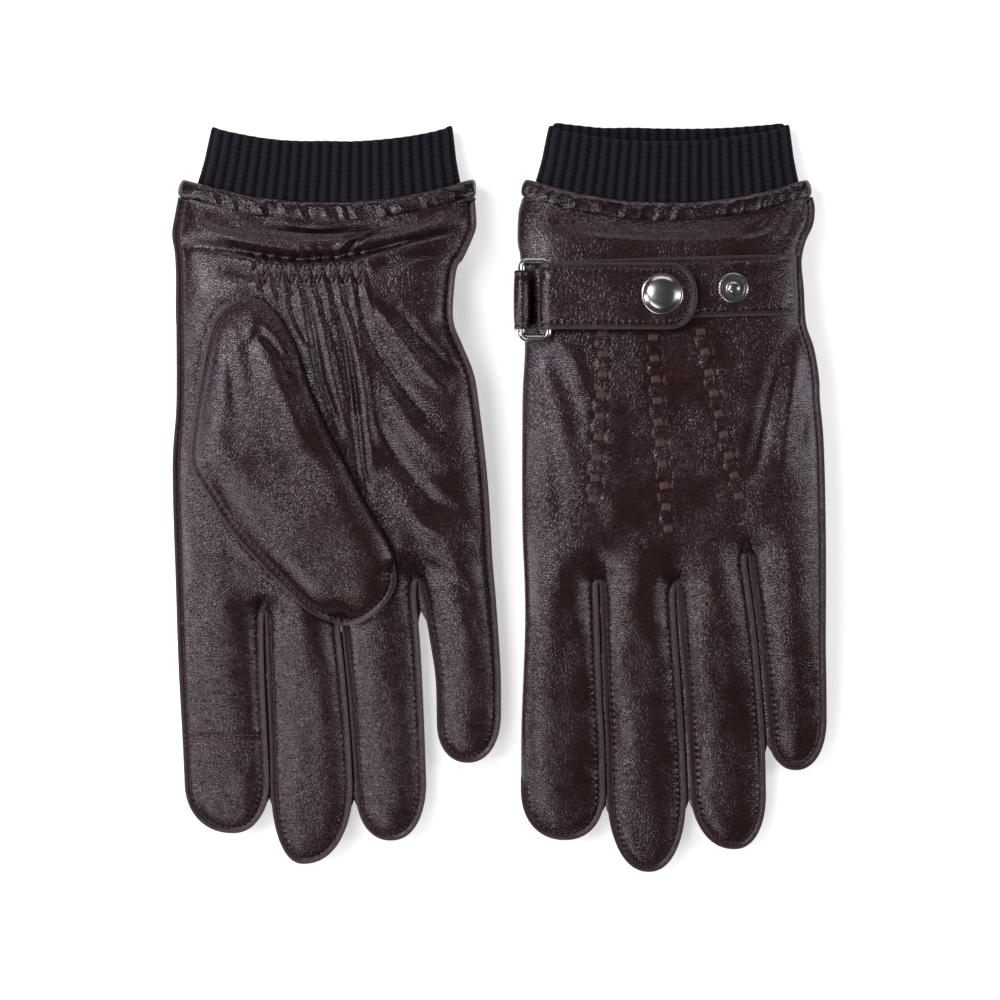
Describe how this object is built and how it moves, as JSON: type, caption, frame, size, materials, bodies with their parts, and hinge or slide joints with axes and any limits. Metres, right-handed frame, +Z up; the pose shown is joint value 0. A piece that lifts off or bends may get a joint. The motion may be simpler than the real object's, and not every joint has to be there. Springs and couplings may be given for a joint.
{
  "type": "touchscreen gloves",
  "caption": "Pair of laced leather touchscreen gloves lying flat, with a ribbed knit cuff, a wrist strap through a wire ring with a snap, and bending fingers and thumbs.",
  "frame": {"origin": "bottom centre of the box round both gloves, on the surface they lie on", "axes": "+Y from the fingertips to the cuffs, +X from the right glove to the left glove, +Z up from the surface"},
  "size_m": [0.2292, 0.2594, 0.0304],
  "materials": {
    "leather": "soft satin dark brown nappa",
    "lacing": "matte reddish brown",
    "knit": "ribbed wool knit, near black",
    "lining": "brushed lining",
    "elastic": "covered elastic",
    "metal": "polished nickel"
  },
  "bodies": {
    "left_glove": {"left_palm_panel": "leather", "left_back_panel": "leather", "left_hand_liner": "lining", "left_knit_cuff": "knit", "left_cuff_hem": "leather", "left_wrist_elastic": "elastic", "left_strap_base": "leather", "left_ring_tab": "leather", "left_stud_inner": "metal", "left_stud_outer": "metal", "left_lacing_inner": "lacing", "left_lacing_middle": "lacing", "left_lacing_outer": "lacing", "left_thumb_base": "leather"},
    "left_buckle_ring": {"left_ring": "metal"},
    "left_flap": {"left_strap_flap": "leather", "left_snap_cap": "metal", "left_snap_socket": "metal"},
    "left_thumb_leaf": {"left_thumb": "leather"},
    "left_index": {"left_index_finger": "leather", "left_index_side_outer": "leather", "left_touch_tip": "leather"},
    "left_middle": {"left_middle_finger": "leather", "left_middle_side_inner": "leather", "left_middle_side_outer": "leather"},
    "left_ring": {"left_ring_finger": "leather", "left_ring_side_inner": "leather", "left_ring_side_outer": "leather"},
    "left_little": {"left_little_finger": "leather", "left_little_side_inner": "leather"},
    "right_glove": {"right_palm_panel": "leather", "right_back_panel": "leather", "right_hand_liner": "lining", "right_knit_cuff": "knit", "right_cuff_hem": "leather", "right_wrist_elastic": "elastic", "right_strap_base": "leather", "right_ring_tab": "leather", "right_stud_inner": "metal", "right_stud_outer": "metal", "right_lacing_inner": "lacing", "right_lacing_middle": "lacing", "right_lacing_outer": "lacing", "right_thumb_base": "leather"},
    "right_buckle_ring": {"right_ring": "metal"},
    "right_flap": {"right_strap_flap": "leather", "right_snap_cap": "metal", "right_snap_socket": "metal"},
    "right_thumb_leaf": {"right_thumb": "leather"},
    "right_index": {"right_index_finger": "leather", "right_index_side_outer": "leather", "right_touch_tip": "leather"},
    "right_middle": {"right_middle_finger": "leather", "right_middle_side_inner": "leather", "right_middle_side_outer": "leather"},
    "right_ring": {"right_ring_finger": "leather", "right_ring_side_inner": "leather", "right_ring_side_outer": "leather"},
    "right_little": {"right_little_finger": "leather", "right_little_side_inner": "leather"}
  },
  "joints": [
    {"name": "right_glove_lift", "type": "slide", "parent": "left_glove", "child": "right_glove", "axis": [0, 0, 1], "range_m": [0, 0.12]},
    {"name": "left_ring_swing", "type": "hinge", "parent": "left_glove", "child": "left_buckle_ring", "pos_m": [0.0086, 0.0691, 0.0251], "axis": [0, -1, 0], "range_deg": [0, 25]},
    {"name": "left_flap_open", "type": "hinge", "parent": "left_buckle_ring", "child": "left_flap", "pos_m": [0.0177, 0.0691, 0.0251], "axis": [0, -1, 0], "range_deg": [0, 120]},
    {"name": "left_thumb_open", "type": "hinge", "parent": "left_glove", "child": "left_thumb_leaf", "pos_m": [0.04735, 0.00225, 0], "axis": [0.8297, 0.5582, 0], "range_deg": [0, 60]},
    {"name": "left_index_bend", "type": "hinge", "parent": "left_glove", "child": "left_index", "pos_m": [0.02275, -0.049, 0.00787], "axis": [1, 0, 0], "range_deg": [0, 75]},
    {"name": "left_middle_bend", "type": "hinge", "parent": "left_glove", "child": "left_middle", "pos_m": [0.04945, -0.049, 0.00787], "axis": [1, 0, 0], "range_deg": [0, 75]},
    {"name": "left_ring_bend", "type": "hinge", "parent": "left_glove", "child": "left_ring", "pos_m": [0.07665, -0.049, 0.00787], "axis": [1, 0, 0], "range_deg": [0, 75]},
    {"name": "left_little_bend", "type": "hinge", "parent": "left_glove", "child": "left_little", "pos_m": [0.10265, -0.049, 0.00787], "axis": [1, 0, 0], "range_deg": [0, 75]},
    {"name": "right_ring_swing", "type": "hinge", "parent": "right_glove", "child": "right_buckle_ring", "pos_m": [-0.112, 0.0691, 0.0053], "axis": [0, 1, 0], "range_deg": [0, 25]},
    {"name": "right_flap_open", "type": "hinge", "parent": "right_buckle_ring", "child": "right_flap", "pos_m": [-0.1029, 0.0691, 0.0053], "axis": [0, 1, 0], "range_deg": [0, 120]},
    {"name": "right_thumb_open", "type": "hinge", "parent": "right_glove", "child": "right_thumb_leaf", "pos_m": [-0.07325, 0.00225, 0.02625], "axis": [-0.8287, -0.5575, -0.0484], "range_deg": [0, 60]},
    {"name": "right_index_bend", "type": "hinge", "parent": "right_glove", "child": "right_index", "pos_m": [-0.0969, -0.049, 0.0132], "axis": [-1, 0, 0], "range_deg": [0, 75]},
    {"name": "right_middle_bend", "type": "hinge", "parent": "right_glove", "child": "right_middle", "pos_m": [-0.068, -0.049, 0.0132], "axis": [-1, 0, 0], "range_deg": [0, 75]},
    {"name": "right_ring_bend", "type": "hinge", "parent": "right_glove", "child": "right_ring", "pos_m": [-0.0407, -0.049, 0.0132], "axis": [-1, 0, 0], "range_deg": [0, 75]},
    {"name": "right_little_bend", "type": "hinge", "parent": "right_glove", "child": "right_little", "pos_m": [-0.0122, -0.049, 0.0132], "axis": [-1, 0, 0], "range_deg": [0, 75]}
  ]
}
